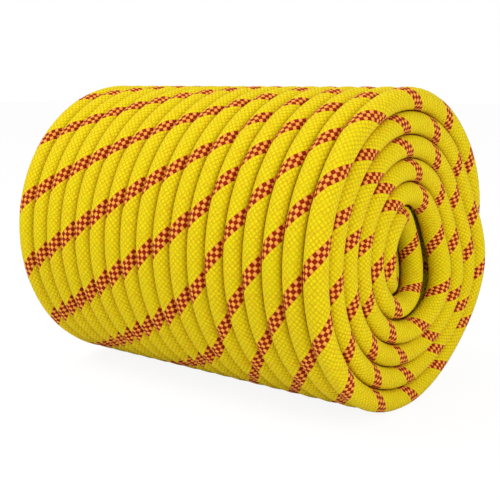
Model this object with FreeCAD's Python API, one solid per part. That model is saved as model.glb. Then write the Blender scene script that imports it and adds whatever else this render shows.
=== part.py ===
# Dynamic climbing rope, a kernmantle rope wound up as a horizontal cylinder.
# Millimetres. X runs along the coil's axis, +X out of the near face, +Z up.
# The origin is in the middle of the coil, on the surface that it lies on.
import FreeCAD, Part
import math
import os

from FreeCAD import Vector

# Rope
rope_diameter = 10.0
sheath_wall = 0.95
core_clearance = 0.15
core_strand_diameter = 1.68
inner_strands = 3
outer_strands = 9
marker_diameter = 0.4

# Corners of the sections that the rope is drawn with, so that its turns stay light
rope_corners = 20
core_space_corners = 8
strand_corners = 6

# Coil
turns_along = 18
rings_deep = 6
turn_gap = 0.6
ring_gap = 0.6
bore_radius = 11.2
flat_depth = 0.5

# The step to the next turn: where it ends, in degrees from the bottom towards +Y, how much rope
# it takes, the shares of it where the line has its points, and how late it swings inwards
crossover_end = 120.0
crossover_length = 110.0
crossover_marks = (0.4, 0.7, 1.0)
swing_lag = 2.5

# Winding that stands for the layers under the outer one
layer_gap = 0.35
mouth_gap = 1.0
pocket_gap = 0.5
end_clearance = 0.3
edge_round = 2.0

# Rope ends
end_run = 20.0
first_turn_room = 1.2
outer_end_turn = 0.09
first_point_after = 0.1
tail_turn = 0.5
tail_run = rope_diameter
inner_end_angle = 120.0
inner_end_drop = 1.4
inner_end_out = 1.0
tip_length = 4.0
tip_round = 1.2
sleeve_length = 14.0
sleeve_wall = 0.5
sleeve_gap = 0.15
sleeve_shows_tip = 1.5

# Sizes that follow
rope_radius = rope_diameter / 2
turn_pitch = rope_diameter + turn_gap
ring_pitch = rope_diameter + ring_gap
inner_radius = bore_radius + rope_radius
outer_radius = inner_radius + (rings_deep - 1) * ring_pitch
axis_height = outer_radius + rope_radius - flat_depth
near_turn_x = (turns_along - 1) * turn_pitch / 2
far_turn_x = -near_turn_x
last_outer_pass = turns_along - 1
last_ring_pass = last_outer_pass + rings_deep - 1
start_angle = math.radians(crossover_end - 360.0)


# The rope's route, as functions of the number of turns made

def smooth(t):
    """Goes from 0 to 1 with a level start and a level end."""
    t = min(max(t, 0.0), 1.0)
    return (1 - math.cos(math.pi * t)) / 2


def crossover(part, radius):
    """Share of the step to the next turn, which ends each turn and takes the same rope on every ring."""
    share = crossover_length / (2 * math.pi * radius)
    return smooth((part - 1 + share) / share)


def outer_layer(turn):
    """Axial place and radius on the outer layer, which steps along once a turn."""
    passes = math.floor(turn)
    x = far_turn_x + turn_pitch * (passes + crossover(turn - passes, outer_radius))
    room = first_turn_room * (1 - smooth(turn))
    return x - room, outer_radius


def face_ring(turn):
    """Axial place and radius on the near face, which steps inwards once a turn."""
    done = turn - last_outer_pass
    passes = math.floor(done)
    radius = outer_radius - ring_pitch * passes
    step = crossover(done - passes, radius)
    swing = math.pi / 2 * step ** swing_lag
    x = near_turn_x + turn_pitch * (step - 1 + math.cos(swing))
    if passes == rings_deep - 2:
        x = near_turn_x - turn_pitch * step
    return x, radius - ring_pitch * math.sin(swing)


def inner_tail(turn):
    """Axial place and radius of the short stretch that starts down the bore."""
    return near_turn_x - turn_pitch * (1 + turn - last_ring_pass), inner_radius


def place(turn):
    """Point of the rope's centre line."""
    if turn <= last_outer_pass:
        x, radius = outer_layer(turn)
    elif turn < last_ring_pass:
        x, radius = face_ring(turn)
    else:
        x, radius = inner_tail(turn)
    angle = start_angle + 2 * math.pi * turn
    return Vector(x, radius * math.sin(angle), axis_height - radius * math.cos(angle))


def heading(turn):
    """Unit tangent of the centre line, from two points close together."""
    small = 1e-4
    return (place(turn + small) - place(turn - small)).normalize()


def route_stations():
    """Every point that the centre line is drawn through, with its heading."""
    counts = [outer_end_turn]
    for passes in range(last_ring_pass):
        ring = max(passes - last_outer_pass, 0)
        share = crossover_length / (2 * math.pi * (outer_radius - ring_pitch * ring))
        plain = 1 - share
        parts = [plain / 2, plain] + [plain + share * mark for mark in crossover_marks]
        counts += [passes + part for part in parts if passes + part > outer_end_turn + first_point_after]
    counts += [last_ring_pass + tail_turn / 2, last_ring_pass + tail_turn]
    return [(place(turn), heading(turn)) for turn in counts]


# Wires

def tangent_arc(start, corner, end):
    """Arc from start to end whose tangents meet in corner."""
    middle = (start + end) / 2
    half_chord = (end - start).Length / 2
    half_turn = math.acos(min(half_chord / (corner - start).Length, 1.0))
    bulge = (corner - middle).normalize() * (half_chord * math.tan(half_turn / 2))
    return Part.Arc(start, middle + bulge, end).toShape()


def biarc(start, start_heading, end, end_heading):
    """Two arcs that leave start and reach end along the given headings."""
    across = end - start
    both = start_heading + end_heading
    a = 2 * (1 - start_heading.dot(end_heading))
    b = 2 * across.dot(both)
    c = -across.dot(across)
    if abs(a) < 1e-9:
        reach = -c / b
    else:
        reach = (-b + math.sqrt(b * b - 4 * a * c)) / (2 * a)
    first = start + start_heading * reach
    second = end - end_heading * reach
    joint = (first + second) / 2
    return [tangent_arc(start, first, joint), tangent_arc(joint, second, end)]


def rope_route():
    """Edges of the centre line, with a straight run at both ends."""
    stations = route_stations()
    first_point, first_heading = stations[0]
    last_point, last_heading = stations[-1]
    edges = [Part.LineSegment(first_point - first_heading * end_run, first_point).toShape()]
    for (start, start_heading), (end, end_heading) in zip(stations, stations[1:]):
        edges += biarc(start, start_heading, end, end_heading)
    edges.append(Part.LineSegment(last_point, last_point + last_heading * tail_run).toShape())
    return edges


def outer_end(edges):
    """Point and outward direction of the rope's outer end."""
    first, last = [vertex.Point for vertex in edges[0].Vertexes]
    return first, (first - last).normalize()


def tail_end(edges):
    """Point and direction where the swept rope stops in its pocket."""
    first, last = [vertex.Point for vertex in edges[-1].Vertexes]
    return last, (last - first).normalize()


def inner_end():
    """Point and direction of the rope's inner end, which lies on the far face under the outer layer."""
    angle = math.radians(inner_end_angle)
    radius = outer_radius - ring_pitch - inner_end_drop
    around = Vector(0, math.cos(angle), math.sin(angle))
    middle = Vector(far_turn_x - inner_end_out, radius * math.sin(angle), axis_height - radius * math.cos(angle))
    return middle + around * ((end_run - tip_length) / 2), around


# Solids

def side_ways(direction):
    """Two unit vectors square to a direction."""
    reference = Vector(1, 0, 0) if abs(direction.x) < 0.9 else Vector(0, 0, 1)
    first = direction.cross(reference).normalize()
    return first, direction.cross(first).normalize()


def swept(spine, centre, direction, radius, corners):
    """A bar along the spine, whose many-sided section has its corners on a circle."""
    first, second = side_ways(direction)
    points = []
    for index in range(corners):
        angle = 2 * math.pi * index / corners
        points.append(centre + first * (radius * math.cos(angle)) + second * (radius * math.sin(angle)))
    section = Part.makePolygon(points + points[:1])
    return spine.makePipeShell([section], True, False)


def make_sheath(edges, spine):
    """The braided cover: a tube wall, cut flat where the coil lies on the ground."""
    start, out = outer_end(edges)
    space_radius = (rope_radius - sheath_wall) / math.cos(math.pi / core_space_corners)
    outside = swept(spine, start, out, rope_radius, rope_corners)
    inside = swept(spine, start, out, space_radius, core_space_corners)
    reach = 2 * (outer_radius + rope_diameter)
    ground = Part.makeBox(2 * reach, reach, rope_diameter, Vector(-reach, -reach / 2, -rope_diameter))
    return outside.cut(ground).cut(inside)


def strand_places():
    """Offsets of the core strands from the rope's centre line."""
    core_radius = rope_radius - sheath_wall - core_clearance
    outer_ring = core_radius - core_strand_diameter / 2
    inner_ring = marker_diameter / 2 + core_clearance + core_strand_diameter / 2
    places = []
    for index in range(inner_strands):
        places.append((inner_ring, 2 * math.pi * index / inner_strands))
    for index in range(outer_strands):
        places.append((outer_ring, 2 * math.pi * (index + 0.5) / outer_strands))
    return places


def make_strand(edges, spine, offset, angle, diameter):
    """One core strand, which keeps its place inside the sheath all the way."""
    start, out = outer_end(edges)
    first, second = side_ways(out)
    centre = start + first * (offset * math.cos(angle)) + second * (offset * math.sin(angle))
    return swept(spine, centre, out, diameter / 2, strand_corners)


def make_tip(point, out):
    """The fused end: a short plug with a rounded rim."""
    plug = Part.makeCylinder(rope_radius, tip_length, point, out)
    far = point + out * tip_length
    rim = [edge for edge in plug.Edges if edge.Length < 7 * rope_radius
           and (edge.CenterOfMass - far).Length < 0.1]
    return plug.makeFillet(tip_round, rim)


def make_sleeve(point, out):
    """The shrunk tube round the rope's end."""
    start = point + out * (tip_length - sleeve_shows_tip - sleeve_length)
    inside = rope_radius + sleeve_gap
    outside = Part.makeCylinder(inside + sleeve_wall, sleeve_length, start, out)
    return outside.cut(Part.makeCylinder(inside, sleeve_length, start, out))


def end_notch(point, out):
    """The room at the far rim that the inner end, its tip and its sleeve lie in."""
    start = point - out * end_run
    inwards = Vector(1, 0, 0).cross(out)
    if inwards.dot(start - Vector(0, 0, axis_height)) > 0:
        inwards = inwards * -1
    half = rope_radius + sleeve_gap + sleeve_wall + end_clearance
    past_body = 3 * half
    length = end_run + tip_length + end_clearance
    corner = start + inwards * half - Vector(past_body, 0, 0)
    wide = inwards * -past_body
    deep = Vector(past_body + half, 0, 0)
    floor = Part.Face(Part.makePolygon([corner, corner + wide, corner + wide + deep, corner + deep, corner]))
    return floor.extrude(out * length)


def make_inner_layers(edges):
    """The layers under the outer one, as one plain body with the coil's bore."""
    far_x = far_turn_x - rope_radius
    near_x = near_turn_x - rope_radius - layer_gap
    body_radius = outer_radius - rope_radius - layer_gap
    x_way = Vector(1, 0, 0)
    body = Part.makeCylinder(body_radius, near_x - far_x, Vector(far_x, 0, axis_height), x_way)
    rims = [edge for edge in body.Edges if edge.Vertexes[0].Point.isEqual(edge.Vertexes[-1].Point, 1e-6)]
    body = body.makeFillet(edge_round, rims)
    tail, tail_way = tail_end(edges)
    mouth_radius = inner_radius + rope_radius + mouth_gap
    mouth_x = tail.x - rope_radius - mouth_gap
    mouth = Part.makeCylinder(mouth_radius, near_x - mouth_x, Vector(mouth_x, 0, axis_height), x_way)
    bore = Part.makeCylinder(bore_radius, near_x - far_x, Vector(far_x, 0, axis_height), x_way)
    pocket_radius = rope_radius + pocket_gap
    pocket = Part.makeCylinder(pocket_radius, tail_run + end_clearance, tail - tail_way * tail_run, tail_way)
    end, end_way = inner_end()
    stub = Part.makeCylinder(rope_radius, end_run + end_clearance, end - end_way * (end_run + end_clearance), end_way)
    return body.cut(mouth).cut(bore).cut(pocket).cut(end_notch(end, end_way)).fuse(stub)


# Checks that are printed

def route_points(edges, step):
    """Points along the route with their distance from its start."""
    points = []
    run = 0.0
    for edge in edges:
        count = max(2, int(edge.Length / step))
        stations = edge.discretize(count + 1)
        points += [(run + edge.Length * index / count, point) for index, point in enumerate(stations[:-1])]
        run += edge.Length
    return points


def least_gap(edges):
    """Smallest clear space between two turns of the rope."""
    skip = 3 * rope_diameter
    cell = 1.5 * rope_diameter
    points = route_points(edges, 1.0)
    cells = {}
    for run, point in points:
        key = (int(point.x // cell), int(point.y // cell), int(point.z // cell))
        cells.setdefault(key, []).append((run, point))
    least = None
    for key, own in cells.items():
        near = []
        for dx in (-1, 0, 1):
            for dy in (-1, 0, 1):
                for dz in (-1, 0, 1):
                    near += cells.get((key[0] + dx, key[1] + dy, key[2] + dz), [])
        for run, point in own:
            for other_run, other in near:
                if other_run - run > skip:
                    distance = (other - point).Length
                    if least is None or distance < least[0]:
                        least = (distance, run, other_run)
    return least[0] - rope_diameter, least[1], least[2]


def print_route(edges):
    length = sum(edge.Length for edge in edges)
    radii = [edge.Curve.Radius for edge in edges if hasattr(edge.Curve, "Radius")]
    gap, run, other_run = least_gap(edges)
    print("route length %.0f mm, %d arcs, smallest bend radius %.2f mm" % (length, len(radii), min(radii)))
    print("least gap between turns %.3f mm, at %.0f and %.0f mm along" % (gap, run, other_run))


def centred(shapes):
    """Moves the model along X until its box is centred on the origin."""
    boxes = [shape.optimalBoundingBox(False, False) for shape in shapes.values()]
    middle = (min(box.XMin for box in boxes) + max(box.XMax for box in boxes)) / 2
    print("moved %.3f mm along X to centre the box" % -middle)
    return {name: shape.translated(Vector(-middle, 0, 0)) for name, shape in shapes.items()}


def print_flats(sheath):
    """Where the flats lie that the coil rests on."""
    flats = [face for face in sheath.Faces if abs(face.CenterOfMass.z) < 1e-6 and face.Surface.TypeId == "Part::GeomPlane"]
    middle = min(flats, key=lambda face: abs(face.CenterOfMass.x))
    box = middle.BoundBox
    print("%d flats, the middle one at x %.3f y %.3f, %.2f by %.2f mm" % (
        len(flats), middle.CenterOfMass.x, middle.CenterOfMass.y, box.XLength, box.YLength))


def write(name, shape):
    box = shape.optimalBoundingBox(False, False)
    print("%-20s solids %d valid %s volume %.1f box %.2f..%.2f %.2f..%.2f %.2f..%.2f" % (
        name, len(shape.Solids), shape.isValid(), shape.Volume,
        box.XMin, box.XMax, box.YMin, box.YMax, box.ZMin, box.ZMax))
    shape.exportStep("parts/%s.step" % name)


def build():
    """Every piece of the rope, by name."""
    edges = rope_route()
    spine = Part.Wire(edges)
    print_route(edges)
    shapes = {"sheath": make_sheath(edges, spine)}
    for number, (offset, angle) in enumerate(strand_places(), start=1):
        shapes["core_strand_%02d" % number] = make_strand(edges, spine, offset, angle, core_strand_diameter)
    shapes["core_marker_thread"] = make_strand(edges, spine, 0.0, 0.0, marker_diameter)
    shapes["inner_layers"] = make_inner_layers(edges)
    for name, (point, out) in (("outer", outer_end(edges)), ("inner", inner_end())):
        shapes["%s_end_tip" % name] = make_tip(point, out)
        shapes["%s_end_sleeve" % name] = make_sleeve(point, out)
    return centred(shapes)


os.makedirs("parts", exist_ok=True)
pieces = build()
print_flats(pieces["sheath"])
for piece_name, piece in pieces.items():
    write(piece_name, piece)
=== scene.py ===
# %% [markdown]
# # A dynamic climbing rope, wound into a cylinder
#
# The object is one long kernmantle rope: a braided yellow cover with a red and
# orange stripe that runs round it, over a core of white strands. It is wound
# six layers deep, and its last visible stretch spirals down the near face into
# the narrow bore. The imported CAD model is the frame: it says where the rope
# lies and how thick it is. This script dresses it.

# %% Load the frame
import math

import bmesh
import bpy
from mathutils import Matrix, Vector
from mathutils.bvhtree import BVHTree


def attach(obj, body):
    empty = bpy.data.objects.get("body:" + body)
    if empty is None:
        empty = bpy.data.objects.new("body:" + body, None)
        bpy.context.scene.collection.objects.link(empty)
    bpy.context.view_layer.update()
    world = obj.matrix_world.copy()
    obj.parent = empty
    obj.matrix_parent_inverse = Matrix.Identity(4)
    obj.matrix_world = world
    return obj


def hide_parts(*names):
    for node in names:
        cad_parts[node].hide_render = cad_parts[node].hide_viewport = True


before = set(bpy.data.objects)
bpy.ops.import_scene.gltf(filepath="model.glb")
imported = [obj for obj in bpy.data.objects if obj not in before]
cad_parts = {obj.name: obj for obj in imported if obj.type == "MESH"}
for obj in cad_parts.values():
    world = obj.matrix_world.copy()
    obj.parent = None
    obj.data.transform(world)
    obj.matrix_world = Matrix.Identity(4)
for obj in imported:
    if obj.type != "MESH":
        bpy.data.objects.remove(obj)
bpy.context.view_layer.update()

# %% [markdown]
# ## Sizes
#
# These are the sizes that the CAD source uses, in millimetres, so the rope in
# this scene runs where the CAD's rope runs. The model there is moved a little
# along X at the end, to centre its box, and the same shift is taken from the
# middle flat that the coil rests on, which the record names as a mount.

# %% Sizes of the rope and of the coil
mm = 0.001
rope_diameter = 10.0 * mm
turn_gap = 0.6 * mm
ring_gap = 0.6 * mm
bore_radius = 11.2 * mm
turns_along = 18
rings_deep = 6
crossover_end = 120.0
crossover_length = 110.0 * mm
swing_lag = 2.5
flat_depth = 0.5 * mm
first_turn_room = 1.2 * mm
outer_end_turn = 0.09
end_run = 20.0 * mm
tip_length = 4.0 * mm
sleeve_length = 14.0 * mm
sleeve_shows_tip = 1.5 * mm
inner_end_angle = math.radians(120.0)
inner_end_drop = 1.4 * mm
inner_end_out = 1.0 * mm
centring_shift = -1.779 * mm

rope_radius = rope_diameter / 2
turn_pitch = rope_diameter + turn_gap
ring_pitch = rope_diameter + ring_gap
inner_radius = bore_radius + rope_radius
outer_radius = inner_radius + (rings_deep - 1) * ring_pitch
axis_height = outer_radius + rope_radius - flat_depth
near_turn_x = (turns_along - 1) * turn_pitch / 2
far_turn_x = -near_turn_x
last_outer_pass = turns_along - 1
last_ring_pass = last_outer_pass + rings_deep - 1
start_angle = math.radians(crossover_end - 360.0)
print("coil", round(2 * (outer_radius + rope_radius), 4), "across")

# %% [markdown]
# ## The camera
#
# The camera comes first, because everything is judged through it. The coil is
# a good ruler: the creases between its turns are circles of known size on a
# known axis, so the eye point, the direction and the lens were solved from
# where those circles fall in the photograph. The picture is square, and the
# lens is long, so the two ends of the coil differ only a little in size.

# %% The camera
eye_from_middle = Vector((29.47, -36.49, 7.21)) * turn_pitch
camera_turn = math.radians(-38.92)
camera_tilt = math.radians(-9.77)
focal_pixels = 975.9
picture_pixels = 500

camera_data = bpy.data.cameras.new("camera")
camera = bpy.data.objects.new("camera", camera_data)
bpy.context.collection.objects.link(camera)
bpy.context.scene.camera = camera
camera_data.sensor_width = 36.0
camera_data.lens = camera_data.sensor_width * focal_pixels / picture_pixels
camera_data.clip_start = 0.05
camera_data.clip_end = 20.0
camera.location = eye_from_middle + Vector((centring_shift, 0, axis_height))
looks_along = Vector((
    math.cos(camera_tilt) * math.sin(camera_turn),
    math.cos(camera_tilt) * math.cos(camera_turn),
    math.sin(camera_tilt),
))
camera.rotation_mode = "QUATERNION"
camera.rotation_quaternion = looks_along.to_track_quat("-Z", "Y")
print("camera at", [round(value, 3) for value in camera.location])

# %% [markdown]
# ## The rope's route
#
# The rope is one line from end to end. It starts at the far face, winds along
# the outer layer towards the viewer, spirals inwards over the near face, goes
# down the bore as the innermost layer, and then climbs one layer at each end
# until it comes to rest under the outer layer on the far face. Each leg is a
# short rule that gives the place along the axis and the radius for a number of
# turns made, so the whole coil follows from a few sizes.
#
# The last ring lies in the mouth of the bore. It dips a little at its right
# before it comes level with the other rings, and dives after its left side.
# When each of these starts and how long it takes are given in turns, counted
# from the end of the spiral, and their depths in steps between two turns.

# %% Sizes of the ring in the mouth of the bore
bore_ring_start = last_ring_pass - 1.0
bore_ring_end = last_ring_pass + 1.0
bore_shift_start = last_ring_pass - 0.45
bore_shift_turns = 0.53
bore_dip = 0.75
bore_dip_start = last_ring_pass - 0.38
bore_dip_turns = 0.7
bore_dive = 1.72
bore_dive_start = last_ring_pass + 0.42
bore_dive_turns = 0.53
bore_dive_end = bore_dive_start + bore_dive_turns
near_stop_short = 1.5
print("the last ring takes turns", bore_ring_start, "to", bore_ring_end)


# %% Rules for the legs of the route
def smooth(t):
    """Goes from 0 to 1 with a level start and a level end."""
    t = min(max(t, 0.0), 1.0)
    return (1 - math.cos(math.pi * t)) / 2


def crossover(part, radius):
    """Share of the step to the next turn, which takes the same rope on every ring."""
    share = crossover_length / (2 * math.pi * radius)
    return smooth((part - 1 + share) / share)


def outer_layer(turn):
    passes = math.floor(turn)
    x = far_turn_x + turn_pitch * (passes + crossover(turn - passes, outer_radius))
    return x - first_turn_room * (1 - smooth(turn)), outer_radius


def face_ring(turn):
    done = turn - last_outer_pass
    passes = math.floor(done)
    radius = outer_radius - ring_pitch * passes
    step = crossover(done - passes, radius)
    swing = math.pi / 2 * step ** swing_lag
    x = near_turn_x + turn_pitch * (step - 1 + math.cos(swing))
    return x, radius - ring_pitch * math.sin(swing)


def bore_ring(turn):
    """The last ring slides into the bore, dips, comes up level with the face and dives."""
    inwards = smooth((turn - bore_shift_start) / bore_shift_turns)
    dip_part = min(max((turn - bore_dip_start) / bore_dip_turns, 0.0), 1.0)
    dip = bore_dip * math.sin(math.pi * dip_part) ** 2
    dive = bore_dive * smooth((turn - bore_dive_start) / bore_dive_turns)
    dive += max(turn - bore_dive_end, 0.0)
    return near_turn_x - turn_pitch * (dip + dive), inner_radius + ring_pitch * (1 - inwards)


def climb(done, x, side, radius):
    """One turn that rises from a layer to the next, bulging out of the coil's end."""
    swing = math.pi / 2 * smooth(done)
    bulge = turn_pitch * (smooth(done) - 1 + math.cos(swing))
    return x + side * bulge, radius + ring_pitch * math.sin(swing)


# %% [markdown]
# The hidden layers go to and fro between the far face and a place one and a
# half turns short of the near face, where the spiral lies. They are worked out
# as a list of legs, each with the turn at which it starts. The last leg comes
# to rest under the outer layer, a little further in, so that its end can be
# seen between the turns of the far face.

# %% The hidden layers as a list of legs
far_stop = far_turn_x
near_stop = near_turn_x - near_stop_short * turn_pitch
inner_end_radius = outer_radius - ring_pitch - inner_end_drop
inner_end_start = inner_end_angle - (end_run + tip_length) / 2 / inner_end_radius

legs = []
leg_turn = bore_ring_end
leg_x = near_turn_x - turn_pitch * (bore_dive + bore_ring_end - bore_dive_end)
for layer in range(rings_deep, 1, -1):
    layer_radius = outer_radius - ring_pitch * (layer - 1)
    towards_far = leg_x > 0
    stop_x = far_stop if towards_far else near_stop
    leg_turns = abs(stop_x - leg_x) / turn_pitch
    if layer == 2:
        last_turn = math.floor(leg_turn + leg_turns)
        last_turn += (inner_end_start - start_angle) / (2 * math.pi)
        last_turn -= 1.0 if last_turn > leg_turn + leg_turns + 0.5 else 0.0
        leg_turns = last_turn - leg_turn
        stop_x = far_stop - inner_end_out
    legs.append(("layer", leg_turn, leg_turns, leg_x, stop_x, layer_radius))
    leg_turn += leg_turns
    leg_x = stop_x
    if layer > 2:
        legs.append(("climb", leg_turn, 1.0, leg_x, -1 if towards_far else 1, layer_radius))
        leg_turn += 1.0
winding_end = leg_turn
print("turns in all", round(winding_end, 2))


def hidden_layers(turn):
    for kind, first, turns, x, aim, radius in legs:
        done = turn - first
        if done <= turns + 1e-9:
            break
    if kind == "climb":
        return climb(done, x, aim, radius)
    if first + turns == winding_end:
        radius -= inner_end_drop * smooth((done - turns + 0.5) / 0.5)
    return x + (aim - x) * done / turns, radius


def place(turn, stretch=1.0):
    """Point of the line after a number of turns, its radius times stretch."""
    if turn <= last_outer_pass:
        x, radius = outer_layer(turn)
    elif turn < bore_ring_start:
        x, radius = face_ring(turn)
    elif turn < bore_ring_end:
        x, radius = bore_ring(turn)
    else:
        x, radius = hidden_layers(turn)
    angle = start_angle + 2 * math.pi * turn
    radius *= stretch
    return Vector((
        centring_shift + x,
        radius * math.sin(angle),
        axis_height - radius * math.cos(angle),
    ))


# %% [markdown]
# ## The line
#
# The line is a NURBS spline. Its control points follow the route, and because
# such a spline cuts inside its corners, each point stands a little outside the
# circle that the line should run on. The outer layer and the spiral get 24
# points a turn, and the hidden layers 14. Both ends run straight.

# %% Control points
fine_points = 24
hidden_points = 14


def control_points():
    points = []
    start = place(outer_end_turn)
    way = (place(outer_end_turn + 1e-4) - place(outer_end_turn - 1e-4)).normalized()
    for along in (end_run, end_run / 2, end_run / 8):
        points.append(start - way * along)
    turn = outer_end_turn
    while turn < winding_end - 0.5 / hidden_points:
        count = fine_points if turn < bore_ring_end + 0.5 else hidden_points
        turn += 1 / count
        if turn < winding_end:
            points.append(place(turn, 1 / math.cos(math.pi / count)))
    radial_angle = inner_end_angle
    middle = Vector((
        centring_shift + far_stop - inner_end_out,
        inner_end_radius * math.sin(radial_angle),
        axis_height - inner_end_radius * math.cos(radial_angle),
    ))
    way = Vector((0, math.cos(radial_angle), math.sin(radial_angle)))
    end = middle + way * (end_run - tip_length) / 2
    for along in (end_run * 0.8, end_run / 2, 0.0):
        points.append(end - way * along)
    return points


route = control_points()
print(len(route), "control points")

# %% The spline, and the points that it gives
line_data = bpy.data.curves.new("rope line", "CURVE")
line_data.dimensions = "3D"
line_data.resolution_u = 3
spline = line_data.splines.new("NURBS")
spline.points.add(len(route) - 1)
for spline_point, point in zip(spline.points, route):
    spline_point.co = (*point, 1.0)
spline.order_u = 3
spline.use_endpoint_u = True
line_object = bpy.data.objects.new("rope line", line_data)
bpy.context.collection.objects.link(line_object)
bpy.context.view_layer.update()
line_mesh = bpy.data.meshes.new_from_object(line_object)
line = [vertex.co.copy() for vertex in line_mesh.vertices]
bpy.data.meshes.remove(line_mesh)
bpy.data.objects.remove(line_object)
bpy.data.curves.remove(line_data)
run = [0.0]
for before, after in zip(line, line[1:]):
    run.append(run[-1] + (after - before).length)

# %% [markdown]
# ## The rope's body
#
# A tube follows the line. It is made ring by ring in code, because its surface
# needs a map for the braid: one direction goes round the rope, and the other
# counts how often the stripe has gone round it. The rings face the coil's
# axis, so the map doesn't drift. The cover gives way where turns press on each
# other, so the tube is a little thicker than the solid one.

# %% The tube and its map
rope_sides = 18
cover_radius = 5.27 * mm
carriers_each_way = 13
stripe_rows = 3
stripe_lays = (  # metres along the rope, and the stripe's lay there in millimetres
    (0.0, 33.02), (4.0, 33.02), (4.1, 32.9), (4.9, 32.9), (5.0, 32.35),
    (7.6, 32.5), (7.64, 29.5), (8.1, 29.0), (8.7, 25.0), (8.74, 27.5),
    (8.78, 30.0), (8.8, 25.5), (8.87, 25.0), (8.89, 28.0), (9.2, 30.0),
)
stripe_faces_out_turn = 17.406


def stripe_turns():
    """How often the stripe has gone round the rope at each point of the line."""
    turns = [0.0]
    for before, after in zip(run, run[1:]):
        middle = (before + after) / 2
        lay = stripe_lays[-1][1]
        for (low, low_lay), (high, high_lay) in zip(stripe_lays, stripe_lays[1:]):
            if low <= middle < high:
                lay = low_lay + (high_lay - low_lay) * (middle - low) / (high - low)
        turns.append(turns[-1] + (after - before) / (lay * mm))
    faces_out = place(stripe_faces_out_turn)
    anchor = min(range(len(line)), key=lambda index: (line[index] - faces_out).length)
    shift = turns[anchor] + stripe_rows / (2 * carriers_each_way)
    return [turn - shift for turn in turns]


def ways_across(index):
    """The way out from the coil's axis and the way sideways, both square to the line."""
    last = len(line) - 1
    tangent = (line[min(index + 1, last)] - line[max(index - 1, 0)]).normalized()
    outwards = line[index] - Vector((0, 0, axis_height))
    outwards.x = 0
    outwards = (outwards - tangent * outwards.dot(tangent)).normalized()
    return outwards, tangent.cross(outwards)


def make_rope():
    count = len(line)
    vertices = []
    for index, point in enumerate(line):
        outwards, sideways = ways_across(index)
        for side in range(rope_sides):
            angle = 2 * math.pi * side / rope_sides
            across = outwards * math.cos(angle) + sideways * math.sin(angle)
            vertices.append(point + across * cover_radius)
    faces = []
    maps = []
    turns = stripe_turns()
    for index in range(count - 1):
        low = turns[index]
        high = turns[index + 1]
        for side in range(rope_sides):
            after = (side + 1) % rope_sides
            first = index * rope_sides
            second = first + rope_sides
            faces.append((first + side, first + after, second + after, second + side))
            left = side / rope_sides
            right = (side + 1) / rope_sides
            maps += [left, low, right, low, right, high, left, high]
    faces.append(tuple(range(rope_sides - 1, -1, -1)))
    maps += [0.5, 0.0] * rope_sides
    faces.append(tuple((count - 1) * rope_sides + side for side in range(rope_sides)))
    maps += [0.5, 0.0] * rope_sides
    mesh = bpy.data.meshes.new("rope")
    mesh.from_pydata(vertices, [], faces)
    mesh.uv_layers.new(name="braid").data.foreach_set("uv", maps)
    mesh.polygons.foreach_set("use_smooth", [True] * len(faces))
    mesh.update()
    return mesh


rope = bpy.data.objects.new("rope", make_rope())
bpy.context.collection.objects.link(rope)
print("rope", len(rope.data.polygons), "faces")

# %% [markdown]
# Where a turn lies against the next, the real rope is dark, because little light gets in. That
# shade is painted into the cover's colour. A ray from each corner of the tube finds how near the
# next turn is, and the share is kept on the mesh, for the material to paint the shade with.

# %% How near the next turn lies
crease_reach = 1.6 * mm
ray_start = 0.02 * mm


def mark_creases(mesh):
    corners = [vertex.co.copy() for vertex in mesh.vertices]
    tree = BVHTree.FromPolygons(corners, [tuple(face.vertices) for face in mesh.polygons])
    marks = []
    for vertex in mesh.vertices:
        hit = tree.ray_cast(vertex.co + vertex.normal * ray_start, vertex.normal, crease_reach)
        marks.append(0.0 if hit[3] is None else 1 - hit[3] / crease_reach)
    mesh.attributes.new("crease", "FLOAT", "POINT").data.foreach_set("value", marks)
    return marks


creases = mark_creases(rope.data)
close_share = sum(mark > 0 for mark in creases) / len(creases)
print("share of the tube that lies close to another turn:", round(close_share, 2))

# %% [markdown]
# ## The braid
#
# The cover is braided from yarns that run round it both ways. On the map they
# are two sets of slanting bands, and a cell is where a band of one set crosses
# a band of the other. In every cell one of them lies on top. A group works this
# out from the map: which band is on top, how high the yarn stands, how its
# filaments lie, how the cells differ, and where the stripe runs.

# %% Helpers for shader nodes
def add_math(tree, operation, first, second=None, third=None):
    node = tree.nodes.new("ShaderNodeMath")
    node.operation = operation
    for socket, value in zip(node.inputs, (first, second, third)):
        if value is None:
            continue
        if isinstance(value, (int, float)):
            socket.default_value = value
        else:
            tree.links.new(value, socket)
    return node.outputs[0]


def add_mix(tree, factor, first, second, blend="MIX"):
    node = tree.nodes.new("ShaderNodeMix")
    node.data_type = "RGBA"
    node.blend_type = blend
    sockets = (node.inputs[0], node.inputs[6], node.inputs[7])
    for socket, value in zip(sockets, (factor, first, second)):
        if isinstance(value, (int, float)):
            socket.default_value = value
        elif isinstance(value, tuple):
            socket.default_value = (*value, 1.0)
        else:
            tree.links.new(value, socket)
    return node.outputs[2]


def new_group(name, inputs, outputs):
    tree = bpy.data.node_groups.new(name, "ShaderNodeTree")
    for socket_name, value in inputs:
        socket = tree.interface.new_socket(
            socket_name, in_out="INPUT", socket_type="NodeSocketFloat")
        socket.default_value = value
    for socket_name in outputs:
        tree.interface.new_socket(socket_name, in_out="OUTPUT", socket_type="NodeSocketFloat")
    return tree, tree.nodes.new("NodeGroupInput"), tree.nodes.new("NodeGroupOutput")


# %% The braid group
def add_noise(tree, scale, detail, vector=None):
    noise = tree.nodes.new("ShaderNodeTexNoise")
    noise.inputs["Scale"].default_value = scale
    noise.inputs["Detail"].default_value = detail
    if vector is None:
        vector = tree.nodes.new("ShaderNodeTexCoord").outputs["Object"]
    tree.links.new(vector, noise.inputs["Vector"])
    return noise


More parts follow.
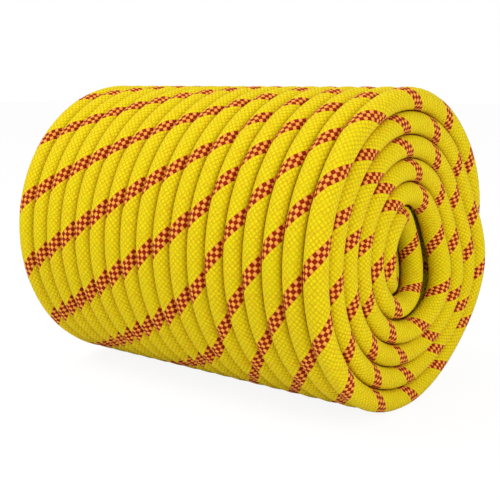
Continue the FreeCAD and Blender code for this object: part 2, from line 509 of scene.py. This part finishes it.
def make_braid_group():
    tree, given, result = new_group(
        "braid",
        (("Carriers", carriers_each_way), ("Stripe rows", stripe_rows), ("Wobble", 0.014)),
        ("Stripe", "Over", "Height", "Filament", "Cell"),
    )
    uv = tree.nodes.new("ShaderNodeUVMap")
    uv.uv_map = "braid"
    split = tree.nodes.new("ShaderNodeSeparateXYZ")
    tree.links.new(uv.outputs[0], split.inputs[0])
    shake = tree.nodes.new("ShaderNodeSeparateXYZ")
    tree.links.new(add_noise(tree, 480.0, 1.0).outputs["Color"], shake.inputs[0])
    wobble = given.outputs["Wobble"]
    places = []
    for index in range(2):
        centred = add_math(tree, "SUBTRACT", shake.outputs[index], 0.5)
        places.append(add_math(tree, "MULTIPLY_ADD", centred, wobble, split.outputs[index]))
    around, along = places
    carriers = given.outputs["Carriers"]
    right = add_math(tree, "MULTIPLY", add_math(tree, "SUBTRACT", around, along), carriers)
    left = add_math(tree, "MULTIPLY", add_math(tree, "ADD", around, along), carriers)
    right_row = add_math(tree, "FLOOR", right)
    left_row = add_math(tree, "FLOOR", left)
    right_part = add_math(tree, "SUBTRACT", add_math(tree, "FRACT", right), 0.5)
    left_part = add_math(tree, "SUBTRACT", add_math(tree, "FRACT", left), 0.5)
    over = add_math(tree, "FLOORED_MODULO", add_math(tree, "ADD", right_row, left_row), 2.0)
    under = add_math(tree, "SUBTRACT", 1.0, over)
    # The yarn on top falls away at its sides and dips where it goes under at its ends.
    across = add_math(tree, "ADD", add_math(tree, "MULTIPLY", over, right_part),
                      add_math(tree, "MULTIPLY", under, left_part))
    lengthwise = add_math(tree, "ADD", add_math(tree, "MULTIPLY", over, left_part),
                          add_math(tree, "MULTIPLY", under, right_part))
    squared = add_math(tree, "MULTIPLY", across, across)
    crown = add_math(tree, "SUBTRACT", 1.0, add_math(tree, "MULTIPLY", squared, 3.6))
    dip = add_math(tree, "POWER", add_math(tree, "ABSOLUTE", lengthwise), 3.0)
    arch = add_math(tree, "SUBTRACT", 1.0, add_math(tree, "MULTIPLY", dip, 6.4))
    height = add_math(tree, "MULTIPLY", crown, arch)
    # Filaments are streaks along the yarn on top: noise that is drawn out that way.
    streak = tree.nodes.new("ShaderNodeCombineXYZ")
    for socket, top, other, stretch in ((0, right, left, 3.2), (1, left, right, 0.9)):
        chosen = add_math(tree, "ADD", add_math(tree, "MULTIPLY", over, top),
                          add_math(tree, "MULTIPLY", under, other))
        tree.links.new(add_math(tree, "MULTIPLY", chosen, stretch), streak.inputs[socket])
    tree.links.new(add_math(tree, "MULTIPLY", over, 9.0), streak.inputs[2])
    fibres = add_noise(tree, 1.0, 1.0, streak.outputs[0]).outputs[0]
    filament = add_math(tree, "MULTIPLY_ADD", fibres, 2.2, -0.6)
    row = add_math(tree, "FLOORED_MODULO", right_row, carriers)
    stripe = add_math(tree, "LESS_THAN", row, given.outputs["Stripe rows"])
    cell_name = tree.nodes.new("ShaderNodeCombineXYZ")
    tree.links.new(row, cell_name.inputs[0])
    tree.links.new(add_math(tree, "SUBTRACT", right_row, left_row), cell_name.inputs[1])
    chance = tree.nodes.new("ShaderNodeTexWhiteNoise")
    chance.noise_dimensions = "2D"
    tree.links.new(cell_name.outputs[0], chance.inputs["Vector"])
    for name, value in (("Stripe", stripe), ("Over", over), ("Height", height),
                        ("Filament", filament), ("Cell", chance.outputs["Value"])):
        tree.links.new(value, result.inputs[name])
    return tree


braid_group = make_braid_group()

# %% [markdown]
# ## Materials
#
# The cover is nylon yarn: bright yellow, dull with a soft sheen at grazing angles. Each colour has
# a lit and a shaded copy, and the shaded one is painted where a yarn falls away between the others,
# as painted shade of the weave's relief. In the stripe, the yarns of one direction are deep red,
# and those that cross them show orange. No two cells are quite alike, because the yarns are pressed
# and turned by hand.

# %% The cover's material
# Each yarn colour comes as a lit copy and a darker copy, which is painted shade for the weave's
# relief.
yellow_lit = (0.88, 0.67, 0.003)
yellow_shaded = (0.46, 0.31, 0.001)
lemon = (0.66, 0.58, 0.002)
ochre = (0.66, 0.38, 0.004)
red_lit = (0.31, 0.014, 0.001)
red_shaded = (0.13, 0.003, 0.0)
orange_lit = (0.98, 0.42, 0.07)
orange_shaded = (0.55, 0.1, 0.003)
# Painted shade for the creases between turns.
crease_shade_brown = (0.15, 0.055, 0.001)


def new_material(name):
    material = bpy.data.materials.new(name)
    material.use_nodes = True
    tree = material.node_tree
    return material, tree, tree.nodes["Principled BSDF"]


def add_range(tree, value, low, high, to_low=0.0, to_high=1.0, kind="SMOOTHSTEP"):
    node = tree.nodes.new("ShaderNodeMapRange")
    node.interpolation_type = kind
    tree.links.new(value, node.inputs["Value"])
    names = ("From Min", "From Max", "To Min", "To Max")
    for name, number in zip(names, (low, high, to_low, to_high)):
        node.inputs[name].default_value = number
    return node.outputs[0]


def make_cover():
    material, tree, shader = new_material("braided nylon cover")
    braid = tree.nodes.new("ShaderNodeGroup")
    braid.node_tree = braid_group
    mottle = add_noise(tree, 90.0, 3.0).outputs[0]
    fine_mottle = add_noise(tree, 420.0, 2.0).outputs[0]
    body = add_math(tree, "MULTIPLY_ADD", braid.outputs["Filament"], 0.6, braid.outputs["Height"])
    # Painted shade of the weave, with the filaments' own streaks: the yarn's height picks between
    # the lit and the shaded copy of each colour.
    shade = add_range(tree, body, 0.1, 1.35, kind="LINEAR")
    yellow = add_mix(tree, shade, yellow_shaded, yellow_lit)
    yellow = add_mix(tree, add_math(tree, "MULTIPLY", braid.outputs["Cell"], 0.4), yellow, lemon)
    yellow = add_mix(tree, add_range(tree, fine_mottle, 0.5, 0.75, 0.0, 0.55), yellow, ochre)
    yellow = add_mix(tree, add_range(tree, mottle, 0.45, 0.75, 0.0, 0.3), yellow, lemon)
    red = add_mix(tree, shade, red_shaded, red_lit)
    orange = add_mix(tree, shade, orange_shaded, orange_lit)
    stripe = add_mix(tree, braid.outputs["Over"], orange, red)
    colour = add_mix(tree, braid.outputs["Stripe"], yellow, stripe)
    crease = tree.nodes.new("ShaderNodeAttribute")
    crease.attribute_name = "crease"
    nearness = crease.outputs["Fac"]
    # Painted shade in the creases: near the next turn the cover is darkened towards ochre, and
    # where it lies closest, towards dark brown.
    crease_shade_tint = add_mix(tree, 1.0, colour, ochre, "MULTIPLY")
    colour = add_mix(tree, add_range(tree, nearness, 0.0, 0.7, 0.0, 0.6), colour, crease_shade_tint)
    colour = add_mix(tree, add_range(tree, nearness, 0.5, 0.95, 0.0, 0.97), colour, crease_shade_brown)
    tree.links.new(colour, shader.inputs["Base Color"])
    roughness = add_range(tree, mottle, 0.0, 1.0, 0.62, 0.82, "LINEAR")
    tree.links.new(roughness, shader.inputs["Roughness"])
    shader.inputs["Sheen Weight"].default_value = 0.03
    shader.inputs["Sheen Roughness"].default_value = 0.4
    shader.inputs["Sheen Tint"].default_value = (1.0, 0.86, 0.35, 1.0)
    shader.inputs["Specular IOR Level"].default_value = 0.09
    bump = tree.nodes.new("ShaderNodeBump")
    bump.inputs["Strength"].default_value = 0.8
    bump.inputs["Distance"].default_value = 0.3 * mm
    tree.links.new(body, bump.inputs["Height"])
    tree.links.new(bump.outputs[0], shader.inputs["Normal"])
    return material


cover = make_cover()
rope.data.materials.append(cover)
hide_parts("sheath", "inner_layers")
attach(rope, "root")

# %% [markdown]
# ## The rope's ends
#
# Both ends are sealed by heat, so that the core can't slip out: the yarns have
# run together into a hard cap with a rounded rim and a sunken middle. A short
# shrunk tube covers the place where cap and braid meet. Each cap starts as a
# cylinder, gets its rim and hollow in edit mode, and is rounded by subdivision.
# The tube starts as an open cylinder whose rims are drawn in.

# %% Helpers for modelling
cap_sides = 24
sleeve_sides = 40
outer_point = line[0]
outer_out = (line[0] - line[1]).normalized()
inner_point = line[-1]
inner_out = (line[-1] - line[-2]).normalized()


def add_cylinder(name, start, out, length, radius, sides, fill):
    bpy.ops.object.select_all(action="DESELECT")
    turned = out.to_track_quat("Z", "Y").to_euler()
    bpy.ops.mesh.primitive_cylinder_add(
        vertices=sides, radius=radius, depth=length, end_fill_type=fill,
        location=start + out * (length / 2), rotation=turned)
    piece = bpy.context.object
    piece.name = name
    piece.data.name = name
    bpy.ops.object.transform_apply(location=True, rotation=True, scale=True)
    return piece


def select_faces(piece, wanted):
    bpy.ops.object.mode_set(mode="EDIT")
    bpy.ops.mesh.select_mode(type="FACE")
    bpy.ops.mesh.select_all(action="DESELECT")
    mesh = bmesh.from_edit_mesh(piece.data)
    for face in mesh.faces:
        face.select_set(wanted(face))
    bmesh.update_edit_mesh(piece.data)


def finish_mesh(piece, levels):
    bpy.ops.mesh.select_all(action="SELECT")
    bpy.ops.mesh.remove_doubles(threshold=0.01 * mm)
    bpy.ops.mesh.normals_make_consistent(inside=False)
    bpy.ops.object.mode_set(mode="OBJECT")
    smoothing = piece.modifiers.new("round", "SUBSURF")
    smoothing.levels = smoothing.render_levels = levels
    bpy.ops.object.modifier_apply(modifier=smoothing.name)
    bpy.ops.object.shade_smooth()


# %% The caps
cap_share_of_cover = 0.985
cap_rim = 0.35 * mm
cap_lift = 0.05 * mm
cap_steps = ((1.1, 0.25), (1.2, -0.45), (1.3, -0.25))  # width and rise of each ring, in mm
cap_back_steps = (0.2, 2.4)  # widths of the rings on the hidden side, in mm
cap_smoothing = 2
faces_along = 0.9


def make_cap(name, point, out):
    radius = cover_radius * cap_share_of_cover
    cap = add_cylinder(name, point, out, tip_length, radius, cap_sides, "NGON")
    select_faces(cap, lambda face: face.normal.dot(out) > faces_along)
    bpy.ops.mesh.inset(thickness=cap_rim, depth=0.0)
    bpy.ops.transform.translate(value=out * cap_lift)
    for width, rise in cap_steps:
        bpy.ops.mesh.inset(thickness=width * mm, depth=rise * mm)
    bpy.ops.mesh.poke()
    select_faces(cap, lambda face: face.normal.dot(out) < -faces_along)
    for width in cap_back_steps:
        bpy.ops.mesh.inset(thickness=width * mm, depth=0.0)
    bpy.ops.mesh.poke()
    finish_mesh(cap, cap_smoothing)
    print(name, len(cap.data.polygons), "faces")
    return cap


outer_cap = make_cap("rope_cap_outer", outer_point, outer_out)
inner_cap = make_cap("rope_cap_inner", inner_point, inner_out)

# %% The shrunk tubes
sleeve_inside = 5.33 * mm
sleeve_thickness = 0.32 * mm
sleeve_rim_rounding = 0.09 * mm
sleeve_cuts = (0.46, 0.38, 0.12, -0.14, -0.37, -0.46)  # shares of the length, from the middle
sleeve_waves = ((0.5, 0.978), (0.38, 1.0), (0.12, 0.994), (-0.14, 1.002), (-0.5, 0.978))


def make_tube(name, point, out):
    start = point + out * (tip_length - sleeve_shows_tip - sleeve_length)
    outside = sleeve_inside + sleeve_thickness
    tube = add_cylinder(name, start, out, sleeve_length, outside, sleeve_sides, "NOTHING")
    middle = start + out * (sleeve_length / 2)
    bpy.ops.object.mode_set(mode="EDIT")
    for along in sleeve_cuts:
        bpy.ops.mesh.select_all(action="SELECT")
        bpy.ops.mesh.bisect(plane_co=middle + out * sleeve_length * along, plane_no=out)
    bpy.ops.mesh.select_mode(type="VERT")
    mesh = bmesh.from_edit_mesh(tube.data)
    for share, squeeze in sleeve_waves:
        for vertex in mesh.verts:
            vertex.select_set(abs((vertex.co - middle).dot(out) - share * sleeve_length) < 0.2 * mm)
        mesh.select_flush_mode()
        bmesh.update_edit_mesh(tube.data)
        centre = middle + out * share * sleeve_length
        across = Vector((1, 1, 1)) * squeeze
        bpy.ops.transform.resize(value=across, center_override=centre)
        mesh = bmesh.from_edit_mesh(tube.data)
    bpy.ops.mesh.select_all(action="SELECT")
    bpy.ops.mesh.normals_make_consistent(inside=False)
    bpy.ops.object.mode_set(mode="OBJECT")
    wall = tube.modifiers.new("wall", "SOLIDIFY")
    wall.thickness = sleeve_thickness
    wall.offset = -1.0
    bpy.ops.object.modifier_apply(modifier=wall.name)
    rims = tube.modifiers.new("rims", "BEVEL")
    rims.width = sleeve_rim_rounding
    rims.segments = 2
    rims.limit_method = "ANGLE"
    bpy.ops.object.modifier_apply(modifier=rims.name)
    bpy.ops.object.shade_smooth()
    print(name, len(tube.data.polygons), "faces")
    return tube


outer_tube = make_tube("shrunk_tube_outer", outer_point, outer_out)
inner_tube = make_tube("shrunk_tube_inner", inner_point, inner_out)

# %% [markdown]
# Molten nylon is darker than the yarn, glossy and uneven. The tube is black
# plastic with a dull shine and faint marks. The core's yarns are white and
# dull, with one thin coloured thread among them. The closed rope hides them,
# and they are finished all the same.

# %% Materials of the ends and of the core
melted_amber = (0.5, 0.3, 0.012)
melted_brown = (0.2, 0.085, 0.006)
melted_dark = (0.03, 0.014, 0.004)
tube_black = (0.012, 0.012, 0.013)
tube_worn = (0.035, 0.034, 0.033)
yarn_white = (0.92, 0.91, 0.87)
yarn_grey = (0.7, 0.68, 0.62)
thread_blue = (0.15, 0.3, 0.7)
thread_deep = (0.06, 0.13, 0.35)


def make_fused():
    material, tree, shader = new_material("fused nylon")
    blotch = add_noise(tree, 700.0, 3.0).outputs[0]
    streak = add_noise(tree, 2200.0, 2.0).outputs[0]
    colour = add_mix(tree, add_range(tree, blotch, 0.35, 0.7), melted_amber, melted_brown)
    colour = add_mix(tree, add_range(tree, streak, 0.5, 0.8, 0.0, 0.5), colour, melted_dark)
    tree.links.new(colour, shader.inputs["Base Color"])
    tree.links.new(add_range(tree, blotch, 0.3, 0.7, 0.22, 0.45), shader.inputs["Roughness"])
    bump = tree.nodes.new("ShaderNodeBump")
    bump.inputs["Strength"].default_value = 0.6
    bump.inputs["Distance"].default_value = 0.25 * mm
    tree.links.new(blotch, bump.inputs["Height"])
    tree.links.new(bump.outputs[0], shader.inputs["Normal"])
    return material


def make_shrunk():
    material, tree, shader = new_material("shrunk black tube")
    haze = add_noise(tree, 300.0, 4.0).outputs[0]
    grain = add_noise(tree, 4000.0, 2.0).outputs[0]
    tree.links.new(add_mix(tree, haze, tube_black, tube_worn), shader.inputs["Base Color"])
    tree.links.new(add_range(tree, haze, 0.3, 0.7, 0.38, 0.55), shader.inputs["Roughness"])
    bump = tree.nodes.new("ShaderNodeBump")
    bump.inputs["Strength"].default_value = 0.25
    bump.inputs["Distance"].default_value = 0.1 * mm
    tree.links.new(add_math(tree, "MULTIPLY_ADD", grain, 0.4, haze), bump.inputs["Height"])
    tree.links.new(bump.outputs[0], shader.inputs["Normal"])
    return material


def make_yarn(name, light, dark):
    material, tree, shader = new_material(name)
    fibre = add_noise(tree, 1500.0, 2.0).outputs[0]
    colour = add_mix(tree, add_range(tree, fibre, 0.3, 0.7), dark, light)
    tree.links.new(colour, shader.inputs["Base Color"])
    shader.inputs["Roughness"].default_value = 0.8
    bump = tree.nodes.new("ShaderNodeBump")
    bump.inputs["Strength"].default_value = 0.5
    bump.inputs["Distance"].default_value = 0.1 * mm
    tree.links.new(fibre, bump.inputs["Height"])
    tree.links.new(bump.outputs[0], shader.inputs["Normal"])
    return material


fused = make_fused()
shrunk = make_shrunk()
core_yarn = make_yarn("white core yarn", yarn_white, yarn_grey)
marker_yarn = make_yarn("coloured marker thread", thread_blue, thread_deep)

# %% Each end piece takes the place of its plain solid
for piece, material, slot, node in (
    (outer_cap, fused, "fused_nylon", "outer_end_tip"),
    (inner_cap, fused, "fused_nylon", "inner_end_tip"),
    (outer_tube, shrunk, "shrink_tube", "outer_end_sleeve"),
    (inner_tube, shrunk, "shrink_tube", "inner_end_sleeve"),
):
    piece.data.materials.append(material)
    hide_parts(node)
    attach(piece, "root")

# %% [markdown]
# ## The core
#
# Three strands lie round the marker thread and nine round those, as in the CAD
# model. They follow this scene's line instead of the CAD's, because the line
# takes another way round the mouth of the bore, and they run as far as the
# stretch of the rope that can be seen.

# %% The core follows the line
core_strand_diameter = 1.68 * mm
inner_strands = 3
outer_strands = 9
inner_strand_ring = 1.19 * mm
outer_strand_ring = 3.06 * mm
marker_diameter = 0.4 * mm
core_length = 8.9
strand_sides = 6


def make_strand(name, offset, angle, diameter):
    """One yarn of the core, which keeps its place inside the cover all the way."""
    corners = []
    faces = []
    count = sum(distance < core_length for distance in run)
    for index in range(count):
        outwards, sideways = ways_across(index)
        middle = line[index] + (outwards * math.cos(angle) + sideways * math.sin(angle)) * offset
        for side in range(strand_sides):
            turn = 2 * math.pi * side / strand_sides
            across = outwards * math.cos(turn) + sideways * math.sin(turn)
            corners.append(middle + across * diameter / 2)
    for index in range(count - 1):
        first = index * strand_sides
        second = first + strand_sides
        for side in range(strand_sides):
            after = (side + 1) % strand_sides
            faces.append((first + side, first + after, second + after, second + side))
    faces.append(tuple(range(strand_sides - 1, -1, -1)))
    faces.append(tuple((count - 1) * strand_sides + side for side in range(strand_sides)))
    mesh = bpy.data.meshes.new(name)
    mesh.from_pydata(corners, [], faces)
    mesh.polygons.foreach_set("use_smooth", [True] * len(faces))
    mesh.update()
    strand = bpy.data.objects.new(name, mesh)
    bpy.context.collection.objects.link(strand)
    return strand


core_places = []
for index in range(inner_strands):
    core_places.append((inner_strand_ring, 2 * math.pi * index / inner_strands))
for index in range(outer_strands):
    core_places.append((outer_strand_ring, 2 * math.pi * (index + 0.5) / outer_strands))
for number, (offset, angle) in enumerate(core_places, start=1):
    strand = make_strand("core_yarn_%02d" % number, offset, angle, core_strand_diameter)
    strand.data.materials.append(core_yarn)
    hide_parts("core_strand_%02d" % number)
    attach(strand, "root")
marker = make_strand("core_marker_yarn", 0.0, 0.0, marker_diameter)
marker.data.materials.append(marker_yarn)
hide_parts("core_marker_thread")
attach(marker, "root")
print("core of", len(core_places), "strands and a marker thread,", core_length, "m of it modelled")

# %% [markdown]
# ## Floor, backdrop and light
#
# The photograph's ground is plain white. The floor is white for the camera and
# in reflections, and keeps a faint shadow, so that the coil stands on
# something. The light is one wide soft lamp from above and the left, a weaker
# one towards the near face, and white all round.

# %% Floor and backdrop
floor_size = 12.0
floor_height = -0.6 * mm
floor_glow = 1.03
floor_glow_share = 0.88


def seen_directly(tree):
    """One for a ray from the camera, a reflection or a look through, and zero for the light."""
    path = tree.nodes.new("ShaderNodeLightPath")
    seen = add_math(tree, "ADD", path.outputs["Is Camera Ray"], path.outputs["Is Glossy Ray"])
    seen = add_math(tree, "ADD", seen, path.outputs["Is Transmission Ray"])
    return add_math(tree, "MINIMUM", seen, 1.0)


bpy.ops.object.select_all(action="DESELECT")
bpy.ops.mesh.primitive_plane_add(size=floor_size, location=(0, 0, floor_height))
floor = bpy.context.object
floor.name = "floor"
floor_material, floor_tree, floor_shader = new_material("white floor")
floor_shader.inputs["Base Color"].default_value = (0.9, 0.9, 0.9, 1.0)
floor_shader.inputs["Roughness"].default_value = 0.9
glow = floor_tree.nodes.new("ShaderNodeEmission")
glow.inputs["Color"].default_value = (1, 1, 1, 1)
glow.inputs["Strength"].default_value = floor_glow
share = add_math(floor_tree, "MULTIPLY", seen_directly(floor_tree), floor_glow_share)
blend_shader = floor_tree.nodes.new("ShaderNodeMixShader")
floor_tree.links.new(share, blend_shader.inputs[0])
floor_tree.links.new(floor_shader.outputs[0], blend_shader.inputs[1])
floor_tree.links.new(glow.outputs[0], blend_shader.inputs[2])
floor_tree.links.new(blend_shader.outputs[0], floor_tree.nodes["Material Output"].inputs["Surface"])
floor.data.materials.append(floor_material)

# %% World and lamps
world = bpy.data.worlds.new("white room")
bpy.context.scene.world = world
world.use_nodes = True
world_tree = world.node_tree
background = world_tree.nodes["Background"]
background.inputs["Color"].default_value = (1, 1, 1, 1)
room_light = 0.66
seen = seen_directly(world_tree)
strength = add_math(world_tree, "MULTIPLY_ADD", seen, 1.0 - room_light, room_light)
world_tree.links.new(strength, background.inputs["Strength"])


def add_lamp(name, place_at, aim_at, size, power):
    lamp_data = bpy.data.lights.new(name, "AREA")
    lamp_data.shape = "DISK"
    lamp_data.size = size
    lamp_data.energy = power
    lamp = bpy.data.objects.new(name, lamp_data)
    lamp.location = place_at
    lamp.rotation_mode = "QUATERNION"
    lamp.rotation_quaternion = (Vector(aim_at) - Vector(place_at)).to_track_quat("-Z", "Y")
    bpy.context.collection.objects.link(lamp)
    return lamp


add_lamp("soft lamp above", (-0.35, -0.5, 0.95), (0, 0, 0.07), 0.7, 6.5)
add_lamp("fill for the near face", (1.0, -0.3, 0.5), (0, 0, 0.07), 0.7, 4.5)
bpy.context.scene.view_settings.view_transform = "Standard"
